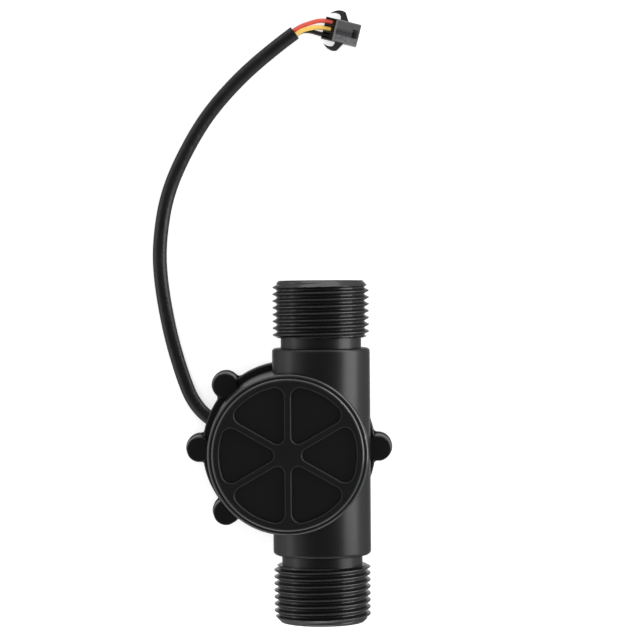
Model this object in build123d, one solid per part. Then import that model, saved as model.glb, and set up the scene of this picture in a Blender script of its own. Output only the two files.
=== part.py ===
from build123d import *
import os
from math import cos, radians, sin, tan

# Turbine flow sensor for a one inch pipe, lying on its sensor lid.
# Millimetres. The rotor axis is Z through the origin, the lid's outer face is z = 0,
# and the pipe runs along Y beside the rotor axis.

# Pipe
pipe_rise = 18.0
pipe_offset = 11.3
overall_length = 116.5
barrel_length = 70.5
barrel_diameter = 33.4
barrel_edge_radius = 1.2
neck_diameter = 27.5
neck_length = 3.5
thread_diameter = 33.0
thread_tip_diameter = 28.8
thread_lead_in = 2.3
thread_start_diameter = 29.8
thread_run_out = 0.8
bore_diameter = 24.0
bore_mouth_chamfer = 0.8

# Rotor chamber and its front disc
joint_height = 15.0
chamber_radius = 24.3
chamber_height = 32.5
drum_wall = 2.8
drum_draft = 0.7
flange_reach = 5.8
flange_thickness = 5.0
ceiling_thickness = 4.5
disc_ledge = 1.4
disc_step = 1.5
disc_edge_radius = 1.0
drum_edge_radius = 1.0
flange_edge_radius = 0.7

# Six blind pockets in the front disc
pocket_count = 6
pocket_margin = 2.7
pocket_depth = 2.0
pocket_rib = 2.5
pocket_outer_corner = 3.0
pocket_inner_corner = 2.3
pocket_edge_radius = 0.6

# Screw lugs
lug_count = 6
lug_phase = 0.0
lug_reach = 0.9
lug_foot_radius = 4.8
lug_top_radius = 4.35
lug_height = 9.0
lug_angles = [0, 45, 135, 180, 225, 315]
lug_edge_radius = 0.6
cover_lug_radius = 5.0
cover_lug_corner = 1.5

# Screws
screw_shank_radius = 1.35
screw_length = 12.0
screw_head_radius = 2.7
screw_head_height = 1.8
screw_socket_radius = 1.1
screw_socket_depth = 1.0
pilot_clearance = 0.05
through_clearance = 0.25
pilot_spare_depth = 0.6

# Cover
cover_thickness = 5.0
spigot_height = 3.5
spigot_clearance = 0.15
seal_land = 1.3
seal_thickness = 1.6
seal_side_room = 0.4

# Board housing on the cover, closed by the lid
housing_length = 34.0
housing_width = 27.0
housing_corner = 3.5
housing_wall = 2.0
lid_thickness = 2.0
lid_edge_radius = 0.5
lid_seal_thickness = 0.6
lid_post_radius = 2.0
lid_post_inset = 4.6
lid_screw_radius = 1.05
lid_screw_head_radius = 2.1
lid_screw_head_height = 1.2
lid_screw_length = 8.0
lid_head_recess = 0.2
sensor_well_length = 9.0
sensor_well_width = 7.0
sensor_well_depth = 2.6

# Board
board_thickness = 1.2
board_end_room = 0.6
board_side_room = 2.5
stake_radius = 1.0
stake_head_radius = 1.7
stake_head_height = 0.8
stake_inset = 2.0
chip_size = (4.1, 3.0, 1.6)
capacitor_size = (3.2, 1.6, 1.4)
resistor_size = (3.2, 1.6, 0.6)

# Rotor
shaft_radius = 1.5
shaft_seat = 3.5
shaft_clearance = 0.02
bush_wall = 1.1
bush_clearance = 0.05
washer_radius = 3.6
washer_thickness = 0.6
chamber_boss_radius = 4.5
chamber_boss_height = 1.5
rotor_end_float = 0.15
blade_count = 8
blade_tip_clearance = 1.0
blade_end_clearance = 1.0
blade_thickness = 1.9
blade_bow = 2.4
hub_radius = 6.6
web_radius = 15.0
web_thickness = 1.4
magnet_outer_radius = 5.6
magnet_inner_radius = 3.3
magnet_height = 5.0

# Grommet
cable_exit_z = 6.0
grommet_neck_radius = 3.1
grommet_collar_radius = 3.8
grommet_nose_radius = 3.1
grommet_nose_length = 2.0
grommet_inner_collar = 1.2
grommet_inner_lip = 0.3
grommet_clearance = 0.05

# Cable and wires
cable_radius = 2.5
wire_radius = 0.8
wire_spread = 1.4
wire_rise = 1.0
lead_turn_x = -6.8
lead_turn_step = 1.8
lead_bend_radius = 1.5

# Heights, radii and places that follow from the sizes above
pipe_height = joint_height + pipe_rise
half_length = overall_length / 2
half_barrel = barrel_length / 2
thread_start = half_barrel + neck_length
flange_top = joint_height + flange_thickness
ceiling_height = joint_height + chamber_height
face_height = ceiling_height + ceiling_thickness
shoulder_height = face_height - disc_step
plate_bottom = joint_height - cover_thickness
spigot_top = joint_height + spigot_height
spigot_radius = chamber_radius - spigot_clearance
drum_top_radius = chamber_radius + drum_wall
drum_foot_radius = drum_top_radius + drum_draft
disc_radius = drum_top_radius - disc_ledge
pocket_radius = disc_radius - pocket_margin
flange_radius = chamber_radius + flange_reach
lug_circle_radius = flange_radius + lug_reach
groove_inner_radius = chamber_radius + seal_land
groove_outer_radius = groove_inner_radius + seal_thickness + 2 * seal_side_room
seal_circle_radius = (groove_inner_radius + groove_outer_radius) / 2
boss_face = ceiling_height - chamber_boss_height
rotor_bottom = spigot_top + washer_thickness + rotor_end_float
rotor_top = boss_face - washer_thickness - rotor_end_float
bush_radius = shaft_radius + bush_clearance + bush_wall
blade_tip_radius = chamber_radius - blade_tip_clearance
lid_post_x = housing_length / 2 - lid_post_inset
wall_x = -housing_length / 2
board_length = 2 * (lid_post_x - lid_post_radius - board_end_room)
board_width = housing_width - 2 * (housing_wall + board_side_room)
stake_offset = board_width / 2 - stake_inset
cable_exit_y = housing_width / 2 - housing_corner - grommet_neck_radius - grommet_inner_lip
jacket_start_x = wall_x + housing_wall - 0.1

# Route of the jacket's centre line, from inside the housing wall to the jacket's end
cable_route = [
    (jacket_start_x, cable_exit_y, cable_exit_z),
    (-22.3, cable_exit_y, cable_exit_z),
    (-28.83, 9.7, 4.9),
    (-34.09, 15.44, 3.4),
    (-37.59, 23.91, 2.5),
    (-42.27, 40.13, 2.5),
    (-45.53, 60.1, 2.5),
    (-45.44, 73.6, 2.5),
    (-42.5, 90.12, 2.5),
    (-34.31, 107.29, 2.5),
    (-25.19, 120.83, 2.5),
    (-9.97, 136.12, 2.5),
    (2.82, 145.43, 2.5),
]

# Routes of the three wires, from the jacket's end into the plug
red_route = [
    (2.37, 146.04, 2.7),
    (4.47, 147.57, 2.7),
    (8.24, 148.85, 2.75),
    (12.55, 149.97, 2.8),
    (16.21, 149.02, 2.8),
]
yellow_route = [
    (3.26, 144.83, 3.4),
    (5.04, 146.12, 3.4),
    (7.93, 146.9, 3.4),
    (11.43, 147.47, 2.8),
    (15.58, 146.59, 2.8),
]
black_route = [
    (3.26, 144.83, 1.75),
    (4.63, 145.83, 1.75),
    (6.48, 146.28, 1.75),
    (8.86, 145.96, 1.9),
    (11.01, 145.19, 2.8),
    (14.96, 144.18, 2.8),
]

# Plug housing, in its own frame: u along the plug from its rear face, v across, z up
plug_origin = (13.07, 147.24)
plug_turn = -14.4
plug_length = 12.75
plug_width = 7.7
plug_height = 5.6
plug_rear_length = 3.9
plug_rear_height = 4.2
cavity_pitch = 2.5
cavity_size = 2.0
cavity_height = 2.8
window_start = 10.3
window_length = 1.8
window_width = 3.1
groove_start = 4.6
groove_width = 1.2
groove_depth = 0.4
groove_offset = -0.6
latch_height = 3.4
plug_edge_radius = 0.3
contact_size = 1.5
contact_start = 2.6
contact_length = 8.6
contact_bore_radius = 0.45

FLOOR = (Align.CENTER, Align.CENTER, Align.MIN)


# A cylinder or rounded block that stands on a height
def post(radius, bottom, top, x=0.0, y=0.0):
    return Pos(x, y, bottom) * Cylinder(radius, top - bottom, align=FLOOR)


def block(length, width, bottom, top, x=0.0, y=0.0):
    return Pos(x, y, bottom) * Box(length, width, top - bottom, align=FLOOR)


def rounded_block(length, width, corner, bottom, top):
    outline = Plane.XY.offset(bottom) * RectangleRounded(length, width, corner)
    return extrude(outline, top - bottom)


# A solid turned about the Z axis from (radius, height) points
def turned(points):
    outline = make_face(Polyline(*[(r, 0, z) for r, z in points], close=True))
    return revolve(outline, Axis.Z)


# The circular edges of a turned solid at one radius and height
def rings(solid, radius, height):
    circles = solid.edges().filter_by(GeomType.CIRCLE)
    return circles.filter_by(
        lambda e: abs(e.radius - radius) < 0.01 and abs(e.arc_center.Z - height) < 0.01
    )


# Radii of a route's arcs: the largest that both runs of each corner allow
def route_radii(points):
    places = [Vector(*p) for p in points]
    radii = []
    for before, corner, after in zip(places, places[1:], places[2:]):
        arriving, leaving = corner - before, after - corner
        half_turn = radians(arriving.get_angle(leaving)) / 2
        radii.append(0.45 * min(arriving.length, leaving.length) / tan(half_turn))
    return radii


# A round tube along a route of straight runs and tangent arcs
def tube(points, radius, radii):
    path = FilletPolyline(*points, radius=radii)
    start = Plane(origin=path @ 0, z_dir=path % 0)
    return sweep(start * Circle(radius), path=path)


# Pipe: one profile of (radius, distance along the pipe), turned about the pipe's axis
def pipe_solid():
    barrel_r, neck_r = barrel_diameter / 2, neck_diameter / 2
    thread_r, tip_r = thread_diameter / 2, thread_tip_diameter / 2
    start_r = thread_start_diameter / 2
    half = [
        (barrel_r, half_barrel),
        (neck_r, half_barrel),
        (neck_r, thread_start),
        (start_r, thread_start),
        (thread_r, thread_start + thread_run_out),
        (thread_r, half_length - thread_lead_in),
        (tip_r, half_length),
        (0, half_length),
    ]
    points = [(r, -y) for r, y in reversed(half)] + half
    solid = revolve(make_face(Polyline(*points, close=True)), Axis.Y)
    shoulders = solid.edges().filter_by(GeomType.CIRCLE).filter_by(
        lambda e: abs(e.radius - barrel_r) < 0.01
    )
    solid = fillet(shoulders, barrel_edge_radius)
    return Pos(pipe_offset, 0, pipe_height) * solid


def pipe_bore():
    bore_r = bore_diameter / 2
    mouth_r = bore_r + bore_mouth_chamfer
    half = [
        (bore_r, half_length - bore_mouth_chamfer),
        (mouth_r, half_length),
        (0, half_length),
    ]
    points = [(r, -y) for r, y in reversed(half)] + half
    solid = revolve(make_face(Polyline(*points, close=True)), Axis.Y)
    return Pos(pipe_offset, 0, pipe_height) * solid


# Drum: the round chamber's outside, with its flange and stepped front disc
def drum_solid():
    drum = turned([
        (0, joint_height),
        (flange_radius, joint_height),
        (flange_radius, flange_top),
        (drum_foot_radius, flange_top),
        (drum_top_radius, shoulder_height),
        (disc_radius, shoulder_height),
        (disc_radius, face_height),
        (0, face_height),
    ])
    drum = fillet(rings(drum, flange_radius, flange_top), flange_edge_radius)
    drum = fillet(rings(drum, drum_top_radius, shoulder_height), drum_edge_radius)
    return fillet(rings(drum, disc_radius, face_height), disc_edge_radius)


# One pocket: a sector between two ribs, with rounded corners
def pocket_outline():
    half_angle = radians(180 / pocket_count)
    half_rib = pocket_rib / 2
    apex = (half_rib / sin(half_angle), 0)
    swing = half_angle - half_rib / pocket_radius
    high = (pocket_radius * cos(swing), pocket_radius * sin(swing))
    low = (high[0], -high[1])
    middle = (pocket_radius, 0)
    outline = make_face([Line(apex, low), ThreePointArc(low, middle, high), Line(high, apex)])
    corners = outline.vertices().sort_by(Axis.X)
    outline = fillet(corners[0], pocket_inner_corner)
    outer = outline.vertices().filter_by(lambda v: abs(v.X - high[0]) < 0.01)
    return fillet(outer, pocket_outer_corner)


def pockets():
    outline = Plane.XY.offset(face_height - pocket_depth) * pocket_outline()
    pocket = extrude(outline, pocket_depth + 1)
    return [Rot(0, 0, k * 360 / pocket_count) * pocket for k in range(pocket_count)]


# One lug: a round boss, a little wider at its foot
def body_lug():
    top = joint_height + lug_height
    boss = turned([(0, joint_height), (lug_foot_radius, joint_height), (lug_top_radius, top), (0, top)])
    return Pos(lug_circle_radius, 0, 0) * fillet(rings(boss, lug_top_radius, top), lug_edge_radius)


def around(shape):
    return [Rot(0, 0, lug_phase + angle) * shape for angle in lug_angles]


# Body: pipe, drum and lugs in one moulding
def make_body():
    solid = drum_solid()
    for boss in around(body_lug()):
        solid += boss
    for pocket in pockets():
        solid -= pocket
    rims = solid.faces().filter_by(Plane.XY).filter_by(
        lambda f: abs(f.center().Z - face_height) < 0.01
    )
    inner_rims = [wire.edges() for face in rims for wire in face.inner_wires()]
    solid = fillet([edge for edges in inner_rims for edge in edges], pocket_edge_radius)
    solid += pipe_solid()
    solid -= post(chamber_radius, joint_height, ceiling_height)
    solid += post(chamber_boss_radius, boss_face, ceiling_height + 0.5)
    solid -= pipe_bore()
    solid -= post(shaft_radius + shaft_clearance, boss_face, boss_face + shaft_seat)
    pilot_top = plate_bottom + screw_length + pilot_spare_depth
    pilot = post(screw_shank_radius + pilot_clearance, joint_height, pilot_top, lug_circle_radius)
    for hole in around(pilot):
        solid -= hole
    return solid


# Outline of the cover's plate: a disc with a round ear behind each lug, and eased inner corners
def cover_outline():
    outline = Circle(flange_radius)
    for ear in around(Pos(lug_circle_radius, 0, 0) * Circle(cover_lug_radius)):
        outline += ear
    inner_corners = outline.vertices().filter_by(
        lambda v: abs(Vector(v.X, v.Y, 0).length - flange_radius) < 0.01
    )
    return Plane.XY.offset(plate_bottom) * fillet(inner_corners, cover_lug_corner)


# Cover: plate, lugs, spigot and board housing in one moulding
def make_cover():
    solid = extrude(cover_outline(), cover_thickness)
    solid = fillet(solid.faces().sort_by(Axis.Z)[0].edges(), flange_edge_radius)
    solid += post(spigot_radius, joint_height, spigot_top)
    solid -= turned([
        (groove_inner_radius, joint_height),
        (groove_outer_radius, joint_height),
        (groove_outer_radius, joint_height - seal_thickness),
        (groove_inner_radius, joint_height - seal_thickness),
    ])
    rim = lid_thickness + lid_seal_thickness
    solid += rounded_block(housing_length, housing_width, housing_corner, rim, plate_bottom)
    solid -= rounded_block(
        housing_length - 2 * housing_wall,
        housing_width - 2 * housing_wall,
        housing_corner - housing_wall,
        rim,
        plate_bottom,
    )
    for side in (-1, 1):
        solid += post(lid_post_radius, rim, plate_bottom, side * lid_post_x)
        solid -= post(
            lid_screw_radius + pilot_clearance,
            rim,
            lid_screw_length + pilot_spare_depth,
            side * lid_post_x,
        )
        solid += post(stake_radius, stake_bottom(), plate_bottom + 0.5, 0, side * stake_offset)
        solid += post(
            stake_head_radius, stake_bottom(), plate_bottom - board_thickness, 0, side * stake_offset
        )
    solid -= block(
        sensor_well_length, sensor_well_width, plate_bottom, plate_bottom + sensor_well_depth
    )
    solid -= post(shaft_radius + shaft_clearance, spigot_top - shaft_seat, spigot_top)
    clearance_hole = post(
        screw_shank_radius + through_clearance, plate_bottom, joint_height, lug_circle_radius
    )
    for hole in around(clearance_hole):
        solid -= hole
    neck_hole = Cylinder(grommet_neck_radius + grommet_clearance, 2 * housing_wall + 1)
    solid -= Pos(wall_x + housing_wall / 2, cable_exit_y, cable_exit_z) * Rot(0, 90, 0) * neck_hole
    return solid


def stake_bottom():
    return plate_bottom - board_thickness - stake_head_height


# Round seal in the cover's face groove
def make_cover_seal():
    ring = Torus(seal_circle_radius, seal_thickness / 2)
    return Pos(0, 0, joint_height - seal_thickness / 2) * ring


# A pan head screw from the back, with a hexagon socket in its head
def make_cover_screw():
    head = post(screw_head_radius, plate_bottom - screw_head_height, plate_bottom)
    head = fillet(rings(head, screw_head_radius, plate_bottom - screw_head_height), 0.6)
    socket = RegularPolygon(screw_socket_radius, 6)
    bottom = plate_bottom - screw_head_height
    head -= extrude(Plane.XY.offset(bottom) * socket, screw_socket_depth)
    head += post(screw_shank_radius, plate_bottom, plate_bottom + screw_length)
    return Pos(lug_circle_radius, 0, 0) * head


# Lid with two countersunk screws
def make_lid():
    lid = rounded_block(housing_length, housing_width, housing_corner, 0, lid_thickness)
    lid = fillet(lid.faces().sort_by(Axis.Z)[0].edges(), lid_edge_radius)
    for side in (-1, 1):
        lid -= Pos(side * lid_post_x, 0, 0) * countersink(pilot_clearance)
    return lid


def countersink(room):
    head_top = lid_head_recess + lid_screw_head_height
    return turned([
        (0, 0),
        (lid_screw_head_radius + room, 0),
        (lid_screw_head_radius + room, lid_head_recess),
        (lid_screw_radius + room, head_top),
        (lid_screw_radius + room, lid_thickness),
        (0, lid_thickness),
    ])


def make_lid_screw():
    head_top = lid_head_recess + lid_screw_head_height
    screw = turned([
        (0, lid_head_recess),
        (lid_screw_head_radius, lid_head_recess),
        (lid_screw_radius, head_top),
        (lid_screw_radius, lid_screw_length),
        (0, lid_screw_length),
    ])
    slot = block(2 * lid_screw_head_radius, 0.5, lid_head_recess, lid_head_recess + 0.5)
    return screw - slot


def make_lid_seal():
    top = lid_thickness + lid_seal_thickness
    seal = rounded_block(housing_length, housing_width, housing_corner, lid_thickness, top)
    return seal - rounded_block(
        housing_length - 2 * housing_wall,
        housing_width - 2 * housing_wall,
        housing_corner - housing_wall,
        lid_thickness,
        top,
    )


# Board, held to the cover by two heat-formed stakes
def make_board():
    bottom = plate_bottom - board_thickness
    board = block(board_length, board_width, bottom, plate_bottom)
    for side in (-1, 1):
        board -= post(stake_radius + pilot_clearance, bottom, plate_bottom, 0, side * stake_offset)
    return board


def on_board_top(size):
    return block(size[0], size[1], plate_bottom, plate_bottom + size[2])


def under_board(size, x, y):
    top = plate_bottom - board_thickness
    return block(size[0], size[1], top - size[2], top, x, y)


# Rotor: hub, bowed blades and a web, around a sleeve and a magnet ring
def blade():
    root_x, tip_x = hub_radius - 1.0, blade_tip_radius - blade_thickness / 2
    middle = ((root_x + tip_x) / 2, blade_bow)
    outline = trace(ThreePointArc((root_x, 0), middle, (tip_x, 0)), blade_thickness)
    bottom = spigot_top + blade_end_clearance
    top = ceiling_height - blade_end_clearance
    return extrude(Plane.XY.offset(bottom) * outline, top - bottom)


def make_impeller():
    wheel = post(hub_radius, rotor_bottom, rotor_top)
    for k in range(blade_count):
        wheel += Rot(0, 0, k * 360 / blade_count) * blade()
    web_bottom = spigot_top + blade_end_clearance
    wheel += post(web_radius, web_bottom, web_bottom + web_thickness)
    wheel -= post(bush_radius, rotor_bottom, rotor_top)
    return wheel - magnet_ring()


def magnet_ring():
    ring = post(magnet_outer_radius, rotor_bottom, rotor_bottom + magnet_height)
    return ring - post(magnet_inner_radius, rotor_bottom, rotor_bottom + magnet_height)


def make_bush():
    sleeve = post(bush_radius, rotor_bottom, rotor_top)
    return sleeve - post(shaft_radius + bush_clearance, rotor_bottom, rotor_top)


def make_shaft():
    shaft = post(shaft_radius, spigot_top - shaft_seat, boss_face + shaft_seat)
    return chamfer(shaft.edges().filter_by(GeomType.CIRCLE), 0.3)


def make_washer(bottom):
    washer = post(washer_radius, bottom, bottom + washer_thickness)
    return washer - post(shaft_radius + shaft_clearance, bottom, bottom + washer_thickness)


# Grommet: a collar each side of the housing wall, and a short nose
def make_grommet():
    inner_face = wall_x + housing_wall
    nose_end = wall_x - grommet_nose_length
    bore = cable_radius + grommet_clearance
    outline = make_face(Polyline(
        (inner_face + grommet_inner_collar, bore),
        (inner_face + grommet_inner_collar, grommet_neck_radius + grommet_inner_lip),
        (inner_face, grommet_neck_radius + grommet_inner_lip),
        (inner_face, grommet_neck_radius),
        (wall_x, grommet_neck_radius),
        (wall_x, grommet_collar_radius),
        (nose_end, grommet_nose_radius),
        (nose_end, bore),
        close=True,
    ))
    return Pos(0, cable_exit_y, cable_exit_z) * revolve(outline, Axis.X)


# Leads inside the housing, from the jacket's inner end up to the board
def make_lead(side, rise):
    start_x = jacket_start_x
    y, z = cable_exit_y + side * wire_spread, cable_exit_z + rise
    turn_x = lead_turn_x - (lead_turn_step if rise else 0)
    points = [(start_x, y, z), (turn_x, y, z), (turn_x, y, plate_bottom - board_thickness)]
    radius = min(lead_bend_radius, 0.9 * (plate_bottom - board_thickness - z))
    return tube(points, wire_radius, [radius])


# Plug housing
def plug_frame():
    angle = radians(plug_turn)
    return Plane(
        origin=(plug_origin[0], plug_origin[1], 0),
        x_dir=(cos(angle), sin(angle), 0),
        z_dir=(0, 0, 1),
    )


def plug_block(start, length, width, bottom, top, across=0.0):
    return block(length, width, bottom, top, start + length / 2, across)


def latch_arm():
    root, corner, tip = (8.4, 3.4), (6.4, 6.75), (1.3, 5.5)
    crest = Spline(corner, (5.0, 7.15), (3.6, 6.95), tip)
    inner = Spline(tip, (3.5, 6.05), (4.7, 5.6), (5.05, 4.4), (5.1, 3.4))
    arm = make_face([Line(root, corner), crest, inner, Line((5.1, 3.4), root)])
    bottom = (plug_height - latch_height) / 2
    return extrude(Plane.XY.offset(bottom) * arm, latch_height)


def make_plug():
    main_length = plug_length - plug_rear_length
    housing = plug_block(plug_rear_length, main_length, plug_width, 0, plug_height)
    housing = fillet(housing.edges().filter_by(Axis.X), plug_edge_radius)
    housing += plug_block(0, plug_rear_length, plug_width, 0, plug_rear_height)
    arm = latch_arm()
    housing += arm
    housing += mirror(arm, Plane.XZ)
    for row in (-1, 0, 1):
        housing -= plug_block(
            0,
            plug_length,
            cavity_size,
            cavity_height - cavity_size / 2,
            cavity_height + cavity_size / 2,
            row * cavity_pitch,
        )
        housing -= plug_block(
            0,
            plug_rear_length,
            cavity_size,
            cavity_height,
            plug_rear_height,
            row * cavity_pitch,
        )
    housing -= plug_block(
        groove_start,
        window_start - groove_start,
        groove_width,
        plug_height - groove_depth,
        plug_height,
        groove_offset,
    )
    housing -= plug_block(window_start, window_length, window_width, cavity_height, plug_height)
    return plug_frame().location * housing


def make_contact(row):
    half = contact_size / 2
    contact = plug_block(
        contact_start,
        contact_length,
        contact_size,
        cavity_height - cavity_size / 2,
        cavity_height + half,
        row * cavity_pitch,
    )
    socket = Cylinder(contact_bore_radius, contact_length)
    place = Pos(contact_start + contact_length, row * cavity_pitch, cavity_height)
    contact -= place * Rot(0, 90, 0) * socket
    return plug_frame().location * contact


nodes = {
    "body": make_body(),
    "cover": make_cover(),
    "cover_seal": make_cover_seal(),
    "cover_screws": Compound(children=around(make_cover_screw())),
    "sensor_lid": make_lid(),
    "lid_seal": make_lid_seal(),
    "lid_screws": Compound(children=[Pos(s * lid_post_x, 0, 0) * make_lid_screw() for s in (-1, 1)]),
    "hall_board": make_board(),
    "hall_chip": on_board_top(chip_size),
    "board_capacitor": under_board(capacitor_size, 5.0, -4.5),
    "board_resistor": under_board(resistor_size, 5.0, 3.5),
    "impeller": make_impeller(),
    "rotor_bush": make_bush(),
    "magnet_ring": magnet_ring(),
    "rotor_shaft": make_shaft(),
    "back_thrust_washer": make_washer(spigot_top),
    "front_thrust_washer": make_washer(boss_face - washer_thickness),
    "cable_grommet": make_grommet(),
    "red_lead": make_lead(1, 0.0),
    "yellow_lead": make_lead(0, wire_rise),
    "black_lead": make_lead(-1, 0.0),
    "signal_cable": tube(cable_route, cable_radius, route_radii(cable_route)),
    "red_wire": tube(red_route, wire_radius, route_radii(red_route)),
    "yellow_wire": tube(yellow_route, wire_radius, route_radii(yellow_route)),
    "black_wire": tube(black_route, wire_radius, route_radii(black_route)),
    "connector_housing": make_plug(),
    "red_contact": make_contact(1),
    "yellow_contact": make_contact(0),
    "black_contact": make_contact(-1),
}

os.makedirs("parts", exist_ok=True)
for name, shape in nodes.items():
    export_step(shape, f"parts/{name}.step")

for name, route in (("cable", cable_route), ("red", red_route), ("yellow", yellow_route),
                    ("black", black_route)):
    print(name, "arc radii", [round(r, 1) for r in route_radii(route)])
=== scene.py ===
import math

import bmesh
import bpy
import numpy as np
from mathutils import Matrix, Vector


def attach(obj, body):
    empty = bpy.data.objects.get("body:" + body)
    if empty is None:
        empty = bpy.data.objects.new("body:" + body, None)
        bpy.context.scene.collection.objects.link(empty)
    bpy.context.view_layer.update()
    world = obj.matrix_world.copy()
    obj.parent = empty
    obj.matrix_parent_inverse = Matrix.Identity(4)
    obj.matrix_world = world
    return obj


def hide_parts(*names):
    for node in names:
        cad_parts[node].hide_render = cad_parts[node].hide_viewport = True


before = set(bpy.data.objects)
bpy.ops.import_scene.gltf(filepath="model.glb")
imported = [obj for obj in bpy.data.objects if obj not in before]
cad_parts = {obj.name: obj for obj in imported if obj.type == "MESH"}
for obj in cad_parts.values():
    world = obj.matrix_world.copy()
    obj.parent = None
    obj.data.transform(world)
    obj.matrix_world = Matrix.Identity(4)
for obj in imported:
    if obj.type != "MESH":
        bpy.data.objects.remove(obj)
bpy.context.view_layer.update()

bl_info = {
    "name": "Pipe flow sensor",
    "version": (1, 0, 0),
    "blender": (4, 5, 0),
    "location": "3D View > Sidebar > Flow sensor",
    "description": "Dresses a moulded pipe flow sensor: turned threads, cable, plug and finishes",
    "category": "Object",
}

MM = 0.001


def in_metres(*millimetres):
    """Lengths in millimetres as a list of lengths in metres."""
    return [length * MM for length in millimetres]


# Sizes and colours that a user would change


class ThreadSizes(bpy.types.PropertyGroup):
    pitch: bpy.props.FloatProperty(
        name="Pitch",
        description="Distance between two turns",
        default=2.309 * MM,
        unit="LENGTH",
    )
    crest_radius: bpy.props.FloatProperty(
        name="Crest radius",
        description="Over the turns",
        default=16.5 * MM,
        unit="LENGTH",
    )
    tip_radius: bpy.props.FloatProperty(
        name="Tip radius",
        description="Where the turns end at the pipe's end face",
        default=14.4 * MM,
        unit="LENGTH",
    )
    start_radius: bpy.props.FloatProperty(
        name="Start radius",
        description="Where the turns begin beside the neck",
        default=14.9 * MM,
        unit="LENGTH",
    )
    flank_angle: bpy.props.FloatProperty(
        name="Flank angle",
        description="Slope of each side of a turn from square",
        default=math.radians(27.5),
        subtype="ANGLE",
    )
    crest_rounding: bpy.props.FloatProperty(
        name="Crest rounding",
        description="Radius over each turn",
        default=0.3 * MM,
        unit="LENGTH",
    )
    root_rounding: bpy.props.FloatProperty(
        name="Root rounding",
        description="Radius between the turns",
        default=0.34 * MM,
        unit="LENGTH",
    )
    start: bpy.props.FloatProperty(
        name="Start",
        description="Distance of the turns' beginning from the pipe's middle",
        default=38.75 * MM,
        unit="LENGTH",
    )
    end: bpy.props.FloatProperty(
        name="End",
        description="Distance of the pipe's end face from its middle",
        default=58.25 * MM,
        unit="LENGTH",
    )
    pipe_x: bpy.props.FloatProperty(
        name="Pipe offset",
        description="Pipe axis beside the rotor axis",
        default=11.3 * MM,
        unit="LENGTH",
    )
    pipe_z: bpy.props.FloatProperty(
        name="Pipe height",
        description="Pipe axis above the table",
        default=33 * MM,
        unit="LENGTH",
    )
    outlet_crest: bpy.props.FloatProperty(
        name="Outlet crest",
        description="A turn's place on the outlet's crown",
        default=54.2 * MM,
        unit="LENGTH",
    )
    inlet_crest: bpy.props.FloatProperty(
        name="Inlet crest",
        description="A turn's place on the inlet's crown",
        default=-46.95 * MM,
        unit="LENGTH",
    )


class CordSizes(bpy.types.PropertyGroup):
    jacket_diameter: bpy.props.FloatProperty(
        name="Jacket diameter",
        description="Round outer jacket",
        default=5.0 * MM,
        unit="LENGTH",
    )
    wire_diameter: bpy.props.FloatProperty(
        name="Wire diameter",
        description="Over each wire's insulation",
        default=1.6 * MM,
        unit="LENGTH",
    )
    jacket_length: bpy.props.FloatProperty(
        name="Jacket length",
        description="Real length of the jacket",
        default=171.2 * MM,
        unit="LENGTH",
    )


class Colours(bpy.types.PropertyGroup):
    nylon: bpy.props.FloatVectorProperty(
        name="Nylon",
        description="Moulded body and cover",
        default=(0.0036, 0.0037, 0.004),
        subtype="COLOR",
        size=3,
        min=0,
        max=1,
    )
    jacket: bpy.props.FloatVectorProperty(
        name="Jacket",
        description="Cable jacket",
        default=(0.006, 0.0063, 0.0072),
        subtype="COLOR",
        size=3,
        min=0,
        max=1,
    )
    plug: bpy.props.FloatVectorProperty(
        name="Plug",
        description="Plug housing",
        default=(0.074, 0.074, 0.076),
        subtype="COLOR",
        size=3,
        min=0,
        max=1,
    )
    red_wire: bpy.props.FloatVectorProperty(
        name="Red wire",
        description="Supply wire",
        default=(0.74, 0.105, 0.075),
        subtype="COLOR",
        size=3,
        min=0,
        max=1,
    )
    yellow_wire: bpy.props.FloatVectorProperty(
        name="Yellow wire",
        description="Signal wire",
        default=(0.93, 0.6, 0.12),
        subtype="COLOR",
        size=3,
        min=0,
        max=1,
    )
    floor: bpy.props.FloatVectorProperty(
        name="Floor",
        description="Pale studio floor",
        default=(0.86, 0.86, 0.86),
        subtype="COLOR",
        size=3,
        min=0,
        max=1,
    )


class StageSizes(bpy.types.PropertyGroup):
    camera_place: bpy.props.FloatVectorProperty(
        name="Camera",
        description="Camera's place above the table",
        default=(0.01075, 0.06529, 0.853),
        subtype="TRANSLATION",
        size=3,
    )
    camera_tilt: bpy.props.FloatProperty(
        name="Tilt",
        description="Camera's tilt towards the inlet",
        default=math.radians(-1.4306),
        subtype="ANGLE",
    )
    camera_turn: bpy.props.FloatProperty(
        name="Turn",
        description="Camera's turn about the rotor axis",
        default=math.radians(-0.4),
        subtype="ANGLE",
    )
    lens: bpy.props.FloatProperty(
        name="Lens",
        description="Focal length on a 36 mm sensor",
        default=135.15,
        min=20,
        max=300,
    )
    side_light: bpy.props.FloatProperty(
        name="Side light",
        description="Strength of the low soft light beside the pipe",
        default=5.8,
        min=0,
    )
    left_light: bpy.props.FloatProperty(
        name="Left light",
        description="Strength of the low soft light on the cable's side",
        default=0.6,
        min=0,
    )
    end_light: bpy.props.FloatProperty(
        name="End light",
        description="Strength of each low soft light beyond a pipe end",
        default=1.35,
        min=0,
    )
    top_light: bpy.props.FloatProperty(
        name="Top light",
        description="Strength of the wide soft light overhead",
        default=11.5,
        min=0,
    )


# Threads: how fast the turns grow from their ends, as radius gained over distance along the pipe
LEAD_IN_SLOPE = 0.9
RUN_OUT_SLOPE = 2.0

# Threads: how the turned surface is stitched to the solid around it
SEAM_GAP = 0.06 * MM  # between the turned surface's edge and the solid's
SEAM_REACH = 0.1 * MM  # how far from a seam its open edges lie
PLANE_SLACK = 0.01 * MM  # keeps the faces that only touch the thread's two ends
SKIN_RADIUS = 14.15 * MM  # faces nearer the pipe's axis belong to the bore
SEAM_RADII = in_metres(13.8, 16.6)  # the open edges at a seam lie between these

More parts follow.
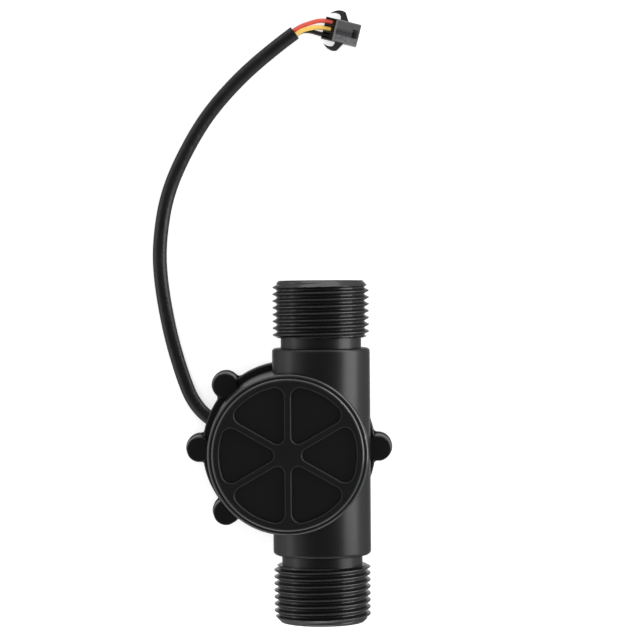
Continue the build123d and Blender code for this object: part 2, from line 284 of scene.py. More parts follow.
# Body finish: radii about the rotor axis where a mask rises, and where a ring rises and falls
POCKET_REACH = in_metres(23.6, 24.0)
RIM_RING = in_metres(24.7, 25.0, 25.6, 25.8)
SHOULDER_RING = in_metres(26.1, 26.4, 27.0, 27.3)

# Body finish: heights above the table and a distance from the pipe's middle where a mask rises
RIM_HIGHLIGHT_HEIGHT = in_metres(48.7, 49.2)
DISC_HEIGHT = in_metres(50.8, 51.4)
FACE_HEIGHT = in_metres(51.8, 51.98)
THREAD_DISTANCE = in_metres(38.4, 38.9)

# Plug finish: the middle of the housing's rear and the housing's turn on the table, as in the part's source
PLUG_ORIGIN = in_metres(13.07, 147.24)
PLUG_TURN = math.radians(-14.4)

# Plug finish: where its masks rise, and where a band rises and falls, along and across the plug
PLUG_TOP = in_metres(3.4, 4.4)
PLUG_SIDES = in_metres(3.8, 4.1)
PLUG_REAR_EDGE = in_metres(4.3, 4.7)
PLUG_SIDE_EDGE = in_metres(3.3, 3.6)
PLUG_BAND = in_metres(-4.1, -3.7, -1.6, -1.2)
PLUG_LINE = in_metres(-1.6, -1.2, 0.4, 1.2)

# Colours of the pieces inside and behind
SCREW_STEEL = (0.62, 0.63, 0.64)
WASHER_STEEL = (0.64, 0.65, 0.66)
SHAFT_STEEL = (0.68, 0.69, 0.7)
BUSH_BRONZE = (0.55, 0.36, 0.17)
# Contacts: brass darkened as a painted shade, for their place deep in the plug's slots
SHADED_CONTACT_BRASS = (0.16, 0.125, 0.07)
MAGNET_GREY = (0.07, 0.07, 0.075)
IMPELLER_WHITE = (0.72, 0.71, 0.67)
SEAL_BLACK = (0.018, 0.018, 0.018)
GROMMET_BLACK = (0.02, 0.02, 0.02)
BOARD_GREEN = (0.012, 0.11, 0.045)
CHIP_BLACK = (0.012, 0.012, 0.013)
CAPACITOR_TAN = (0.42, 0.3, 0.18)
RESISTOR_BLACK = (0.015, 0.015, 0.017)

# Stage: the square floor and the camera, in metres but for the sensor's width
FLOOR_REACH = 3.0
FLOOR_DROP = 0.15 * MM  # keeps the floor clear of the faces that rest on the table
SENSOR_WIDTH = 36.0
CLIP_NEAR, CLIP_FAR = 0.01, 20.0

# Stage: each soft light's place, the point it faces, its width and height, and its strength's setting
PANELS = {
    "side_panel": ((0.68, 0.52, 0.235), (0.0113, 0.52, 0.033), (1.3, 0.47), "side_light"),
    "left_panel": ((-0.72, 0.08, 0.14), (-0.02, 0.08, 0.02), (1.1, 0.22), "left_light"),
    "outlet_panel": ((0.0, 0.95, 0.1), (0.0, 0.06, 0.033), (1.2, 0.24), "end_light"),
    "inlet_panel": ((0.0, -0.82, 0.1), (0.0, -0.05, 0.033), (1.2, 0.24), "end_light"),
    "top_panel": ((0.0, 0.05, 1.35), (0.0, 0.05, 0.0), (1.3, 1.3), "top_light"),
}

# Stage: the surround's colour from straight down (0) past the horizon (0.5) to straight up (1)
SKY_STOPS = [
    (0.0, (0.6, 0.6, 0.6)),
    (0.03, (0.45, 0.45, 0.45)),
    (0.07, (0.22, 0.22, 0.22)),
    (0.22, (0.38, 0.38, 0.38)),
    (0.36, (0.7, 0.7, 0.7)),
    (0.5, (0.72, 0.72, 0.73)),
    (0.6, (0.8, 0.8, 0.81)),
    (0.77, (0.58, 0.58, 0.59)),
    (0.9, (0.2, 0.2, 0.205)),
    (1.0, (0.09, 0.09, 0.09)),
]

# Control points of the cords, in millimetres
CABLE_ROUTE = [
    (-15.1, 6.6, 6.0),
    (-22.3, 6.6, 6.0),
    (-28.83, 9.7, 4.9),
    (-34.09, 15.44, 3.4),
    (-37.59, 23.91, 2.5),
    (-42.27, 40.13, 2.5),
    (-45.53, 60.1, 2.5),
    (-45.44, 73.6, 2.5),
    (-42.5, 90.12, 2.5),
    (-34.31, 107.29, 2.5),
    (-25.19, 120.83, 2.5),
    (-9.97, 136.12, 2.5),
    (2.82, 145.43, 2.5),
]
WIRE_ROUTES = {
    "red": [
        (2.37, 146.04, 2.7),
        (4.47, 147.57, 2.7),
        (8.24, 148.85, 2.75),
        (12.55, 149.97, 2.8),
        (16.21, 149.02, 2.8),
    ],
    "yellow": [
        (3.26, 144.83, 3.4),
        (5.04, 146.12, 3.4),
        (7.93, 146.9, 3.4),
        (11.43, 147.47, 2.8),
        (15.58, 146.59, 2.8),
    ],
    "black": [
        (3.26, 144.83, 1.75),
        (4.63, 145.83, 1.75),
        (6.48, 146.28, 1.75),
        (8.86, 145.96, 1.9),
        (11.01, 145.19, 2.8),
        (14.96, 144.18, 2.8),
    ],
}


# Shader maths


class Field:
    """A shader socket that takes part in Python sums; each sum adds the Math node that it needs."""

    def __init__(self, tree, socket):
        self.tree, self.socket = tree, socket

    def maths(self, operation, *values):
        return self.tree.node("ShaderNodeMath", {"operation": operation}, dict(enumerate(values)))

    def __add__(self, other):
        return self.maths("ADD", self, other)

    def __radd__(self, other):
        return self.maths("ADD", other, self)

    def __sub__(self, other):
        return self.maths("SUBTRACT", self, other)

    def __rsub__(self, other):
        return self.maths("SUBTRACT", other, self)

    def __mul__(self, other):
        return self.maths("MULTIPLY", self, other)

    def __rmul__(self, other):
        return self.maths("MULTIPLY", other, self)

    def __abs__(self):
        return self.maths("ABSOLUTE", self)

    def rise(self, low, high):
        """0 below low, 1 above high, and a smooth rise from one to the other."""
        settings = {"interpolation_type": "SMOOTHSTEP"}
        values = {0: self, 1: low, 2: high, 3: 0.0, 4: 1.0}
        return self.tree.node("ShaderNodeMapRange", settings, values)

    def band(self, low, full, fading, gone):
        """1 between full and fading, with a smooth rise from low before them and a fall to gone after."""
        return self.rise(low, full) * (1.0 - self.rise(fading, gone))


class Tree:
    """A node tree that is filled from Python: every node is added by one method."""

    def __init__(self, tree):
        self.tree = tree
        tree.nodes.clear()

    def node(self, kind, settings=None, inputs=None, output=0):
        """Adds a node, sets it up, feeds its sockets with values or fields and returns one output."""
        made = self.tree.nodes.new(kind)
        for name, value in (settings or {}).items():
            if name == "stops":
                self.set_stops(made.color_ramp, value)
            else:
                setattr(made, name, value)
        for name, value in (inputs or {}).items():
            self.feed(made.inputs[name], value)
        return Field(self, made.outputs[output])

    def feed(self, socket, value):
        if isinstance(value, Field):
            self.tree.links.new(value.socket, socket)
        else:
            socket.default_value = value

    def set_stops(self, ramp, stops):
        while len(ramp.elements) < len(stops):
            ramp.elements.new(0.5)
        for element, (place, colour) in zip(ramp.elements, stops):
            element.position = place
            element.color = (*colour, 1.0)

    def place(self):
        return self.node("ShaderNodeTexCoord", output="Object")

    def coordinate(self, axis):
        """One coordinate of the place in the object's frame, as a number."""
        return self.node("ShaderNodeSeparateXYZ", None, {0: self.place()}, output=axis)

    def noise(self, scale, detail=2.0, roughness=0.5, stretch=(1.0, 1.0, 1.0)):
        place = self.node("ShaderNodeMapping", None, {"Vector": self.place(), "Scale": stretch})
        values = {"Vector": place, "Scale": scale, "Detail": detail, "Roughness": roughness}
        return self.node("ShaderNodeTexNoise", {"noise_dimensions": "3D"}, values)

    def blend(self, factor, first, second):
        colours = [colour if isinstance(colour, Field) else (*colour, 1.0) for colour in (first, second)]
        values = {0: factor, 6: colours[0], 7: colours[1]}
        return self.node("ShaderNodeMix", {"data_type": "RGBA"}, values, output=2)

    def bump(self, height, strength, distance):
        values = {"Height": height, "Strength": strength, "Distance": distance}
        return self.node("ShaderNodeBump", None, values)


class Finish(Tree):
    """A material with one shader; fixed values go straight on the shader's own sockets."""

    def __init__(self, name, **fixed):
        self.material = bpy.data.materials.new(name)
        self.material.use_nodes = True
        super().__init__(self.material.node_tree)
        self.shader = self.tree.nodes.new("ShaderNodeBsdfPrincipled")
        surface = self.tree.nodes.new("ShaderNodeOutputMaterial")
        self.tree.links.new(self.shader.outputs[0], surface.inputs[0])
        for socket, value in fixed.items():
            self.shader.inputs[socket.replace("_", " ")].default_value = value

    def give(self, socket, value):
        self.feed(self.shader.inputs[socket], value)
        return self


def scaled(colour, factor):
    return tuple(min(1.0, part * factor) for part in colour)


def squares(lengths):
    return [length**2 for length in lengths]


# Finishes


def moulded(name, colour, rough, spread=0.1, grain=0.05, shade=0.22):
    """Moulded plastic: the colour drifts over centimetres by the shade, the gloss over millimetres by the
    spread about the roughness, and fine moulding grain is raised by the grain's strength."""
    finish = Finish(name, IOR=1.5)
    drift = finish.noise(55.0, 3.0, 0.55)
    cloud = finish.noise(420.0, 3.0, 0.6)
    finish.give("Base Color", finish.blend(drift, scaled(colour, 1 - shade), scaled(colour, 1 + shade)))
    finish.give("Roughness", rough + (cloud - 0.5) * spread)
    grains = finish.noise(2600.0, 2.0, 0.6) + finish.noise(700.0, 2.0, 0.5) * 0.6
    return finish.give("Normal", finish.bump(grains, grain, 0.0001))


def body_nylon(name, colour):
    """Black nylon of the body: satin walls, glossier threads with a painted sheen that lightens their
    colour, pockets with duller edges, and the front's two round edges glossier with a painted highlight that
    lightens their colour. Rings about the rotor axis are set out on the squared distance to it."""
    finish = Finish(name, IOR=1.5, Coat_Roughness=0.16)
    x, y, height = [finish.coordinate(axis) for axis in "XYZ"]
    off_axis = x * x + y * y
    rings = off_axis.band(*squares(SHOULDER_RING)) + off_axis.band(*squares(RIM_RING))
    rim_highlight = rings * height.rise(*RIM_HIGHLIGHT_HEIGHT)
    thread = abs(y).rise(*THREAD_DISTANCE)
    disc = height.rise(*DISC_HEIGHT)
    inside = 1.0 - off_axis.rise(*squares(POCKET_REACH))
    pocket_edge = inside * disc * (1.0 - height.rise(*FACE_HEIGHT))
    drift = finish.noise(48.0, 3.0, 0.55)
    cloud = finish.noise(380.0, 3.0, 0.6)
    plain = finish.blend(drift, scaled(colour, 0.8), scaled(colour, 1.22))
    # Painted highlight: the colour on the two round edges high on the front is lightened 3.2 times
    lightened = finish.blend(rim_highlight, plain, scaled(colour, 3.2))
    # Painted sheen: the threads' colour is lightened 1.6 times over the plain nylon
    finish.give("Base Color", finish.blend(thread, lightened, scaled(colour, 1.6)))
    finish.give("Coat Weight", thread * 0.38 + rim_highlight * 0.8)
    satin = 0.31 + (cloud - 0.5) * 0.08
    finish.give("Roughness", satin - thread * 0.1 + disc * 0.04 - rim_highlight * 0.14 + pocket_edge * 0.2)
    grains = finish.noise(2400.0, 2.0, 0.6) + finish.noise(520.0, 2.0, 0.5) * 0.8
    return finish.give("Normal", finish.bump(grains, 0.05, 0.0001))


def plug_nylon(name, colour):
    """Plug housing: a grey top with a painted highlight lightening its edges, a paler textured band along
    one side and a dark line beside it, and painted shade darkening the rear and latch arms. All are set out
    along and across the plug, which lies turned on the table: the place less the plug's origin is measured
    along the plug's way and square to it."""
    finish = Finish(name, IOR=1.5)
    x, y = [finish.coordinate(axis) - origin for axis, origin in zip("XY", PLUG_ORIGIN)]
    way_x, way_y = math.cos(PLUG_TURN), math.sin(PLUG_TURN)
    along = x * way_x + y * way_y
    across = y * way_x - x * way_y
    top = along.rise(*PLUG_TOP) * (1.0 - abs(across).rise(*PLUG_SIDES))
    band = across.band(*PLUG_BAND)
    line = across.band(*PLUG_LINE)
    cloud = finish.noise(900.0, 3.0, 0.6)
    band_texture = finish.noise(1700.0, 4.0, 0.7, (1.0, 1.0, 0.5))
    plain = finish.blend(cloud, scaled(colour, 0.8), scaled(colour, 1.2))
    lightened = finish.blend(band_texture.rise(0.35, 0.65), scaled(colour, 0.85), scaled(colour, 2.3))
    marked = finish.blend(line, finish.blend(band, plain, lightened), scaled(colour, 0.62))
    # Painted highlight: the housing's side and rear edges are lightened twice over
    edge = abs(across).rise(*PLUG_SIDE_EDGE) + (1.0 - along.rise(*PLUG_REAR_EDGE))
    edge_highlighted = finish.blend(edge, marked, scaled(colour, 2.0))
    # Painted shade: outside the top, the rear and latch arms are darkened to 0.24 of the plug's colour
    finish.give("Base Color", finish.blend(top, scaled(colour, 0.24), edge_highlighted))
    finish.give("Roughness", 0.4 + (cloud - 0.5) * 0.12)
    return finish.give("Normal", finish.bump(finish.noise(1900.0, 2.0, 0.6) + band_texture * band, 0.2, 0.0001))


def insulation(name, colour):
    """Soft wire insulation: slight colour drift, faint ripples across and a waxy gloss."""
    finish = Finish(name, IOR=1.48, Coat_Weight=0.25, Coat_Roughness=0.25)
    drift = finish.noise(380.0, 3.0, 0.6)
    finish.give("Base Color", finish.blend(drift, scaled(colour, 0.86), scaled(colour, 1.08)))
    finish.give("Roughness", 0.34 + (finish.noise(900.0) - 0.5) * 0.12)
    return finish.give("Normal", finish.bump(finish.noise(650.0, 2.0, 0.5), 0.12, 0.0002))


def jacket_plastic(name, colour):
    """Satin black cable jacket: waves along it where the cores press through, and handling haze."""
    finish = Finish(name, IOR=1.42, Coat_Weight=0.2, Coat_Roughness=0.1)
    haze = finish.noise(160.0, 4.0, 0.6)
    finish.give("Base Color", finish.blend(haze, scaled(colour, 0.5), scaled(colour, 1.1)))
    finish.give("Roughness", 0.37 + (haze - 0.5) * 0.3)
    waves = finish.noise(240.0, 3.0, 0.6) + finish.noise(900.0, 3.0, 0.6) * 0.6
    return finish.give("Normal", finish.bump(waves, 0.5, 0.0006))


def soft_rubber(name, colour):
    """Matt rubber with a fine bloom and small pits."""
    finish = Finish(name, IOR=1.52)
    bloom = finish.noise(240.0, 4.0, 0.65)
    finish.give("Base Color", finish.blend(bloom, scaled(colour, 0.8), scaled(colour, 1.7)))
    finish.give("Roughness", 0.62 + (bloom - 0.5) * 0.16)
    return finish.give("Normal", finish.bump(finish.noise(3200.0, 2.0, 0.6), 0.1, 0.0001))


def worked_metal(name, colour, rough, stretch=(1.0, 1.0, 1.0), mark=0.1, metallic=1.0):
    """Machined metal: marks drawn out by the stretch and raised by the mark's strength, and gloss that
    follows them about the roughness."""
    finish = Finish(name, Metallic=metallic)
    marks = finish.noise(900.0, 3.0, 0.6, stretch)
    tarnish = finish.noise(190.0, 3.0, 0.6)
    finish.give("Base Color", finish.blend(tarnish, scaled(colour, 0.88), scaled(colour, 1.06)))
    finish.give("Roughness", rough + (marks - 0.5) * 0.18)
    return finish.give("Normal", finish.bump(marks, mark, 0.00008))


def circuit_board(name, colour):
    """Solder mask over woven glass: crossing threads show faintly, with copper runs a shade lighter."""
    finish = Finish(name, IOR=1.55, Coat_Weight=0.4, Coat_Roughness=0.2)
    threads = {"Vector": finish.place(), "Scale": 420.0}
    across = finish.node("ShaderNodeTexWave", {"bands_direction": "X"}, threads)
    along = finish.node("ShaderNodeTexWave", {"bands_direction": "Y"}, threads)
    weave = across * along
    runs = finish.noise(260.0, 1.0, 0.3, (1.0, 0.25, 1.0)).rise(0.52, 0.56)
    finish.give("Base Color", finish.blend(runs, scaled(colour, 0.9), scaled(colour, 1.45)))
    finish.give("Roughness", 0.35 + weave * 0.12)
    return finish.give("Normal", finish.bump(weave + runs, 0.1, 0.00006))


def ceramic_body(name, colour):
    """Fired chip body: speckled, slightly rough."""
    finish = Finish(name, IOR=1.6)
    speck = finish.noise(2800.0, 3.0, 0.7)
    finish.give("Base Color", finish.blend(speck, scaled(colour, 0.75), scaled(colour, 1.15)))
    finish.give("Roughness", 0.5 + (speck - 0.5) * 0.2)
    return finish.give("Normal", finish.bump(speck, 0.12, 0.00005))


def studio_floor(name, colour):
    """Pale matt floor with a faint paper tooth; it glows a little, so it stays near white."""
    finish = Finish(name, Emission_Strength=0.5)
    tooth = finish.noise(320.0, 3.0, 0.6)
    finish.give("Base Color", finish.blend(tooth, scaled(colour, 0.99), scaled(colour, 1.01)))
    finish.give("Emission Color", (1.0, 1.0, 1.0, 1.0))
    return finish.give("Roughness", 0.85 + (tooth - 0.5) * 0.1)


# Surfaces


def rounded_turn(sizes, off_crest):
    """Drop below the crest at a distance from the crest line, measured along the pipe: an arc over the
    crest, a straight flank that falls by the distance over the tangent of the flank angle, and an arc in
    the root."""
    slope, lean = math.tan(sizes.flank_angle), math.sin(sizes.flank_angle)
    over, under = sizes.crest_rounding, sizes.root_rounding
    reach_over = over * math.cos(sizes.flank_angle)
    reach_under = under * math.cos(sizes.flank_angle)
    to_root = sizes.pitch / 2 - off_crest
    crest = over - np.sqrt(np.maximum(over**2 - off_crest**2, 0.0))
    flank = over * (1 - lean) + (off_crest - reach_over) / slope
    flank_end = over * (1 - lean) + (sizes.pitch / 2 - reach_under - reach_over) / slope
    root = flank_end - under * lean + np.sqrt(np.maximum(under**2 - to_root**2, 0.0))
    return np.where(off_crest < reach_over, crest, np.where(to_root < reach_under, root, flank))


def turned_thread(sizes, side, crest_at, angle_steps=144, row_steps=260):
    """Male thread as a grid over the angle about the pipe (0 at the crown, growing towards +X) and the
    distance along it. A turn's distance from the nearest crest line is the distance along the pipe less
    one pitch per full turn, folded into half a pitch. The radius is the crest's less the rounded turn's
    drop there, and never passes the two end cones."""
    rows = np.linspace(sizes.start + SEAM_GAP, sizes.end - SEAM_GAP, row_steps)
    angles = np.linspace(0.0, 2 * math.pi, angle_steps, endpoint=False)
    along, angle = np.meshgrid(rows, angles, indexing="ij")
    turn = (side * along - crest_at) / sizes.pitch - angle / (2 * math.pi)
    off_crest = np.abs(turn - np.round(turn)) * sizes.pitch
    radius = sizes.crest_radius - rounded_turn(sizes, off_crest)
    lead_in = sizes.tip_radius + LEAD_IN_SLOPE * (sizes.end - along)
    run_out = sizes.start_radius + RUN_OUT_SLOPE * (along - sizes.start)
    radius = np.minimum(radius, np.minimum(lead_in, run_out))
    radius[0], radius[-1] = sizes.start_radius, sizes.tip_radius
    beside = sizes.pipe_x + radius * np.sin(angle)
    above = sizes.pipe_z + radius * np.cos(angle)
    return np.stack([beside, side * along, above], axis=-1)


def grid_faces(rows, columns, flip):
    """Four-sided faces of a grid that closes on itself across its columns."""
    row, column = np.meshgrid(np.arange(rows - 1), np.arange(columns), indexing="ij")
    here, below = row * columns, (row + 1) * columns
    after = (column + 1) % columns
    corners = [here + column, here + after, below + after, below + column]
    faces = np.stack([corner.ravel() for corner in corners], axis=-1)
    return faces[:, ::-1] if flip else faces


def mesh_of(name, points, faces):
    """A smooth mesh from an array of points and an array of faces."""
    mesh = bpy.data.meshes.new(name)
    mesh.from_pydata(points.reshape(-1, 3).tolist(), [], faces.tolist())
    mesh.polygons.foreach_set("use_smooth", np.ones(len(faces), bool))
    mesh.update()
    return mesh


def merged_copy(node):
    """A node's solid as one joined shell, keeping each corner's shading direction in a layer of its own."""
    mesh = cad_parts[node].data.copy()
    normals = np.empty(len(mesh.loops) * 3, np.float32)
    mesh.corner_normals.foreach_get("vector", normals)
    layer = mesh.attributes.new("shading", "FLOAT_VECTOR", "CORNER")
    layer.data.foreach_set("vector", normals)
    shell = bmesh.new()
    shell.from_mesh(mesh)
    bpy.data.meshes.remove(mesh)
    bmesh.ops.remove_doubles(shell, verts=shell.verts, dist=1e-6)
    return shell


def shaded_mesh(shell, name, crisp=math.radians(38)):
    """The shell as a mesh that shades as the solid does; new faces are smooth up to the crisp angle."""
    mesh = bpy.data.meshes.new(name)
    shell.to_mesh(mesh)
    shell.free()
    mesh.polygons.foreach_set("use_smooth", np.ones(len(mesh.polygons), bool))
    mesh.set_sharp_from_angle(angle=crisp)
    normals = np.empty(len(mesh.loops) * 3, np.float32)
    mesh.attributes["shading"].data.foreach_get("vector", normals)
    mesh.normals_split_custom_set(normals.reshape(-1, 3).tolist())
    mesh.attributes.remove(mesh.attributes["shading"])
    return mesh


def off_pipe(sizes, point):
    """A point's distance from the pipe's axis."""
    return math.hypot(point.x - sizes.pipe_x, point.z - sizes.pipe_z)


def plain_thread_faces(shell, sizes):
    """The solid's outer faces between a thread's start and the pipe's end face, at both ends."""
    found = []
    for face in shell.faces:
        middle = face.calc_center_median()
        inside = sizes.start + PLANE_SLACK < abs(middle.y) < sizes.end - PLANE_SLACK
        if inside and off_pipe(sizes, middle) > SKIN_RADIUS:
            found.append(face)
    return found


def seam_edges(shell, sizes, seam):
    """Open edges whose middle lies beside a seam, which is a place along the pipe."""
    near, far = SEAM_RADII
    found = []
    for edge in shell.edges:
        if len(edge.link_faces) == 1:
            middle = (edge.verts[0].co + edge.verts[1].co) / 2
            if abs(middle.y - seam) < SEAM_REACH and near < off_pipe(sizes, middle) < far:
                found.append(edge)
    return found


def threaded_body(sizes):
    """The body with each plain thread cylinder taken off and real turns stitched in its place."""
    shell = merged_copy("body")
    bmesh.ops.delete(shell, geom=plain_thread_faces(shell, sizes), context="FACES")
    for side, crest_at in ((1, sizes.outlet_crest), (-1, sizes.inlet_crest)):
        points = turned_thread(sizes, side, crest_at)
        rows, columns = points.shape[:2]
        mesh = mesh_of("turns", points, grid_faces(rows, columns, flip=side > 0))
        shell.from_mesh(mesh)
        bpy.data.meshes.remove(mesh)
        for seam in (side * sizes.start, side * sizes.end):
            bmesh.ops.bridge_loops(shell, edges=seam_edges(shell, sizes, seam))
    bmesh.ops.recalc_face_normals(shell, faces=shell.faces)
    return shaded_mesh(shell, "body_moulding")


def nurbs_cord(name, route, diameter):
    """A smooth round cord: a second-degree spline that the route's points steer."""
    curve = bpy.data.curves.new(name, "CURVE")
    curve.dimensions = "3D"
    curve.bevel_depth = diameter / 2
    curve.bevel_resolution = 7
    curve.resolution_u = 20
    curve.use_fill_caps = True
    spline = curve.splines.new("NURBS")
    spline.points.add(len(route) - 1)
    for point, (x, y, z) in zip(spline.points, route):
        point.co = (x * MM, y * MM, z * MM, 1.0)
    spline.order_u = 3
    spline.use_endpoint_u = True
    return curve


# Pieces


def placed(name, shape, finish, nodes):
    """A finished piece of the fixed body: it sits at the origin and stands for CAD nodes."""
    piece = bpy.data.objects.new(name, shape)
    bpy.context.scene.collection.objects.link(piece)
    piece.data.materials.clear()
    piece.data.materials.append(finish.material)
    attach(piece, "sensor_body")
    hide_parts(*nodes)
    return piece


def dress(finish, *nodes):
    """Gives one finish to CAD solids that keep their shape."""
    for node in nodes:
        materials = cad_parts[node].data.materials
        materials.clear()
        materials.append(finish.material)


class SENSOR_OT_stage(bpy.types.Operator):
    """Pale floor, soft studio light and the camera above the pipe"""

    bl_idname = "sensor.stage"
    bl_label = "Stage"

    def execute(self, context):
        scene, sizes = context.scene, context.scene.stage_sizes
        self.floor(scene)
        for name, (place, target, size, strength) in PANELS.items():
            self.panel(scene, name, place, target, size, getattr(sizes, strength))
        scene.objects["top_panel"].visible_glossy = False
        self.sky(scene)
        self.camera(scene, sizes)
        scene.view_settings.view_transform = "Standard"
        return {"FINISHED"}

    def floor(self, scene):
        """A square just under the table's height, which doesn't show in glossy faces."""
        square = np.array([(-1, -1, 0), (1, -1, 0), (1, 1, 0), (-1, 1, 0)])
        mesh = mesh_of("floor", square * FLOOR_REACH - (0, 0, FLOOR_DROP), np.array([[0, 1, 2, 3]]))
        mesh.materials.append(studio_floor("floor_paper", tuple(scene.colours.floor)).material)
        floor = bpy.data.objects.new("floor", mesh)
        scene.collection.objects.link(floor)
        floor.visible_glossy = False

    def panel(self, scene, name, place, target, size, strength):
        """A soft rectangular light that faces a point."""
        data = bpy.data.lights.new(name, "AREA")
        data.shape = "RECTANGLE"
        data.size, data.size_y = size
        data.energy = strength
        light = bpy.data.objects.new(name, data)
        way = Vector(target) - Vector(place)
        light.matrix_world = Matrix.Translation(place) @ way.to_track_quat("-Z", "Y").to_matrix().to_4x4()
        scene.collection.objects.link(light)

    def sky(self, scene):
        """Studio surround: dim overhead, bright towards the horizon and pale straight below."""
        world = bpy.data.worlds.new("surround")
        world.use_nodes = True
        scene.world = world
        tree = Tree(world.node_tree)
        way = tree.node("ShaderNodeTexCoord", output="Generated")
        up = tree.node("ShaderNodeSeparateXYZ", None, {0: way}, output="Z")
        colour = tree.node("ShaderNodeValToRGB", {"stops": SKY_STOPS}, {0: up * 0.5 + 0.5})
        background = tree.node("ShaderNodeBackground", None, {"Color": colour, "Strength": 1.0})
        surround = tree.tree.nodes.new("ShaderNodeOutputWorld")
        tree.tree.links.new(background.socket, surround.inputs[0])

    def camera(self, scene, sizes):
        """The camera looks straight down, a little tilted and turned."""
        data = bpy.data.cameras.new("camera")
        data.lens = sizes.lens
        data.sensor_width = SENSOR_WIDTH
        data.clip_start, data.clip_end = CLIP_NEAR, CLIP_FAR
        camera = bpy.data.objects.new("camera", data)
        scene.collection.objects.link(camera)
        camera.matrix_world = (
            Matrix.Rotation(sizes.camera_turn, 4, "Z")
            @ Matrix.Translation(sizes.camera_place)
            @ Matrix.Rotation(sizes.camera_tilt, 4, "X")
        )
        scene.camera = camera


class SENSOR_OT_cable(bpy.types.Operator):
    """Cable jacket and its three wires"""

    bl_idname = "sensor.cable"
    bl_label = "Cable"

    def execute(self, context):
        sizes, colours = context.scene.cord_sizes, context.scene.colours
        shades = {"red": colours.red_wire, "yellow": colours.yellow_wire, "black": colours.jacket}
        for name, route in WIRE_ROUTES.items():
            curve = nurbs_cord(f"{name}_wire_insulation", route, sizes.wire_diameter)
            slot = f"{name}_insulation"
            finish = insulation(slot, shades[name])
            placed(curve.name, curve, finish, [f"{name}_wire"])
        curve = nurbs_cord("cable_jacket", CABLE_ROUTE, sizes.jacket_diameter)
        finish = jacket_plastic("cable_jacket", colours.jacket)
        jacket = placed("cable_jacket", curve, finish, ["signal_cable"])
        return {"FINISHED"}


class SENSOR_OT_body(bpy.types.Operator):
    """Body moulding with real threads at both ends"""

    bl_idname = "sensor.body"
    bl_label = "Body"

    def execute(self, context):
        sizes, colours = context.scene.thread_sizes, context.scene.colours
        finish = body_nylon("body_nylon", colours.nylon)
        placed("body_moulding", threaded_body(sizes), finish, ["body"])
        return {"FINISHED"}


class SENSOR_OT_cover(bpy.types.Operator):
    """Finishes of the back cover and the lid of its board housing"""

    bl_idname = "sensor.cover"
    bl_label = "Cover and lid"

    def execute(self, context):
        nylon = tuple(context.scene.colours.nylon)
        dress(moulded("cover_nylon", nylon, rough=0.4), "cover")
        lid = moulded("lid_nylon", scaled(nylon, 1.2), rough=0.5, spread=0.12, grain=0.1)
        dress(lid, "sensor_lid")
        return {"FINISHED"}


class SENSOR_OT_seals(bpy.types.Operator):
    """Finishes of the two seals and the cable's grommet"""

    bl_idname = "sensor.seals"
    bl_label = "Seals and grommet"

    def execute(self, context):
        dress(soft_rubber("seal_rubber", SEAL_BLACK), "cover_seal", "lid_seal")
        dress(soft_rubber("grommet_rubber", GROMMET_BLACK), "cable_grommet")
        return {"FINISHED"}


class SENSOR_OT_screws(bpy.types.Operator):
    """Finish of the screws of cover and lid"""

    bl_idname = "sensor.screws"
    bl_label = "Screws"

    def execute(self, context):
        steel = worked_metal("screw_steel", SCREW_STEEL, rough=0.3, stretch=(1.0, 1.0, 0.1))
        dress(steel, "cover_screws", "lid_screws")
        return {"FINISHED"}


class SENSOR_OT_rotor(bpy.types.Operator):
    """Finishes of the paddle wheel and of what it turns on"""

    bl_idname = "sensor.rotor"
    bl_label = "Rotor"

    def execute(self, context):
        dress(moulded("impeller_acetal", IMPELLER_WHITE, rough=0.42, grain=0.04, shade=0.05), "impeller")
        ferrite = worked_metal("magnet_ferrite", MAGNET_GREY, 0.45, stretch=(1.0, 1.0, 0.2), metallic=0.4)
        dress(ferrite, "magnet_ring")
        dress(worked_metal("bush_bronze", BUSH_BRONZE, rough=0.38, mark=0.16), "rotor_bush")
        shaft = worked_metal("shaft_steel", SHAFT_STEEL, rough=0.2, stretch=(1.0, 1.0, 0.05), mark=0.04)
        dress(shaft, "rotor_shaft")
        washer = worked_metal("washer_steel", WASHER_STEEL, rough=0.24, mark=0.05)
        dress(washer, "back_thrust_washer", "front_thrust_washer")
        return {"FINISHED"}


class SENSOR_OT_board(bpy.types.Operator):
    """Finishes of the sensing board and its parts"""

    bl_idname = "sensor.board"
    bl_label = "Board"

    def execute(self, context):
        dress(circuit_board("board_green", BOARD_GREEN), "hall_board")
        dress(moulded("chip_black", CHIP_BLACK, rough=0.6, grain=0.12), "hall_chip")
        dress(ceramic_body("capacitor_tan", CAPACITOR_TAN), "board_capacitor")
        dress(ceramic_body("resistor_black", RESISTOR_BLACK), "board_resistor")
        return {"FINISHED"}


class SENSOR_OT_leads(bpy.types.Operator):
    """Finishes of the three leads between cable and board"""

    bl_idname = "sensor.leads"
    bl_label = "Leads"

    def execute(self, context):
        colours = context.scene.colours
        for node, shade in (
            ("red_lead", colours.red_wire),
            ("yellow_lead", colours.yellow_wire),
            ("black_lead", colours.jacket),
        ):
            dress(insulation(node, tuple(shade)), node)
        return {"FINISHED"}


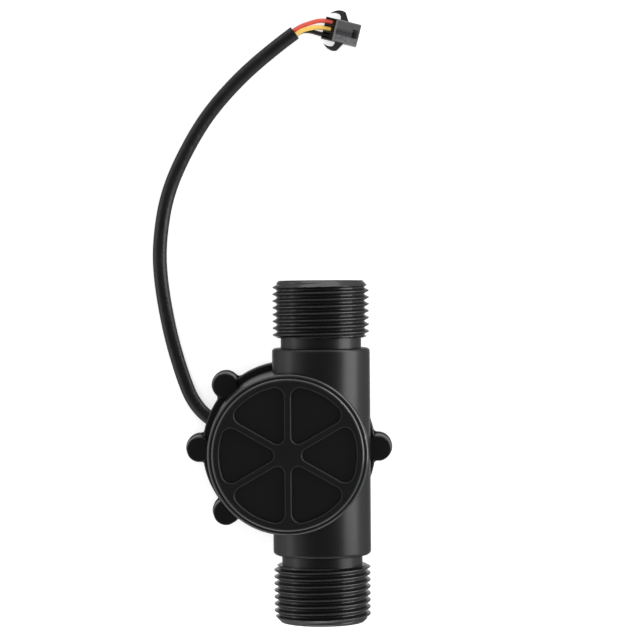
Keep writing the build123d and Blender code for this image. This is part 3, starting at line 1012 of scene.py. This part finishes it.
class SENSOR_OT_plug(bpy.types.Operator):
    """Finishes of the plug housing and its contacts"""

    bl_idname = "sensor.plug"
    bl_label = "Plug"

    def execute(self, context):
        dress(plug_nylon("plug_nylon", tuple(context.scene.colours.plug)), "connector_housing")
        # The contacts' brass is darkened as a painted shade
        brass = worked_metal("contact_brass", SHADED_CONTACT_BRASS, rough=0.4, stretch=(1.0, 1.0, 0.3), mark=0.05)
        dress(brass, "red_contact", "yellow_contact", "black_contact")
        return {"FINISHED"}


class SENSOR_PT_panel(bpy.types.Panel):
    bl_label = "Flow sensor"
    bl_idname = "SENSOR_PT_panel"
    bl_space_type = "VIEW_3D"
    bl_region_type = "UI"
    bl_category = "Flow sensor"

    def draw(self, context):
        for operator in PIECES:
            self.layout.operator(operator.bl_idname)
        for group in GROUPS:
            box = self.layout.box()
            settings = getattr(context.scene, group)
            for name in settings.__annotations__:
                box.prop(settings, name)


GROUPS = {
    "thread_sizes": ThreadSizes,
    "cord_sizes": CordSizes,
    "colours": Colours,
    "stage_sizes": StageSizes,
}
PIECES = (
    SENSOR_OT_stage,
    SENSOR_OT_cable,
    SENSOR_OT_body,
    SENSOR_OT_cover,
    SENSOR_OT_seals,
    SENSOR_OT_screws,
    SENSOR_OT_rotor,
    SENSOR_OT_board,
    SENSOR_OT_leads,
    SENSOR_OT_plug,
)


def register():
    for group in GROUPS.values():
        bpy.utils.register_class(group)
    for operator in PIECES:
        bpy.utils.register_class(operator)
    bpy.utils.register_class(SENSOR_PT_panel)
    for name, group in GROUPS.items():
        setattr(bpy.types.Scene, name, bpy.props.PointerProperty(type=group))


def unregister():
    for name in GROUPS:
        delattr(bpy.types.Scene, name)
    bpy.utils.unregister_class(SENSOR_PT_panel)
    for operator in reversed(PIECES):
        bpy.utils.unregister_class(operator)
    for group in GROUPS.values():
        bpy.utils.unregister_class(group)


def main():
    register()
    bpy.ops.sensor.stage()
    bpy.ops.sensor.cable()
    bpy.ops.sensor.body()
    bpy.ops.sensor.cover()
    bpy.ops.sensor.seals()
    bpy.ops.sensor.screws()
    bpy.ops.sensor.rotor()
    bpy.ops.sensor.board()
    bpy.ops.sensor.leads()
    bpy.ops.sensor.plug()


if __name__ == "__main__":
    main()
